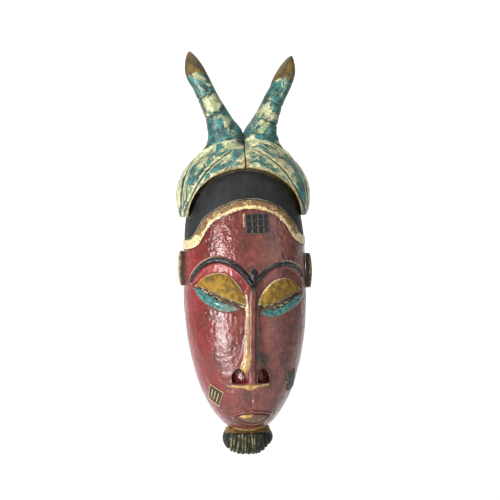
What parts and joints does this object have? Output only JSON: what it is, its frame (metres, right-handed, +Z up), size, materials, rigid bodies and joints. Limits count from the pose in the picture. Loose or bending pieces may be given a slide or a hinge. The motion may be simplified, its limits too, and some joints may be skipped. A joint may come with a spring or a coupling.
{
  "type": "carved wooden mask",
  "caption": "Tall carved wooden wall mask: long red face with slit eyes and a blade nose, gold headband, black hair, turquoise crest with two horns, and a grooved black beard.",
  "frame": {"origin": "on the flat wooden back, on the centre line, between the hairline arch and the hanger plate; the wall plane is y = 0", "axes": "+X to the right of someone who looks at the mask, +Y back into the wall, +Z up towards the horns"},
  "size_m": [0.136, 0.0719, 0.4061],
  "materials": {
    "red_paint": "dark red paint under worn varnish on carved wood",
    "black_paint": "matt black paint on carved wood",
    "gold_paint": "worn gold paint on carved wood",
    "turquoise_paint": "turquoise paint worn through to a cream ground",
    "ochre_paint": "dull ochre gold paint on carved wood",
    "bare_wood": "bare wood",
    "zinc_steel": "zinc plated"
  },
  "bodies": {
    "root": {"face_shell": "red_paint", "hair_cap": "black_paint", "headband": "gold_paint", "crest_left": "turquoise_paint", "crest_right": "turquoise_paint", "ear_left": "ochre_paint", "ear_right": "ochre_paint", "beard": "black_paint", "forehead_tablet": "black_paint", "cheek_tablet_left": "gold_paint", "cheek_tablet_right": "black_paint", "hair_dowel_left": "bare_wood", "hair_dowel_right": "bare_wood", "crest_dowel_left": "bare_wood", "crest_dowel_right": "bare_wood", "crest_seam_dowel": "bare_wood", "beard_dowel_left": "bare_wood", "beard_dowel_right": "bare_wood", "hanger_plate": "zinc_steel", "hanger_screw_left": "zinc_steel", "hanger_screw_right": "zinc_steel"}
  },
  "joints": []
}
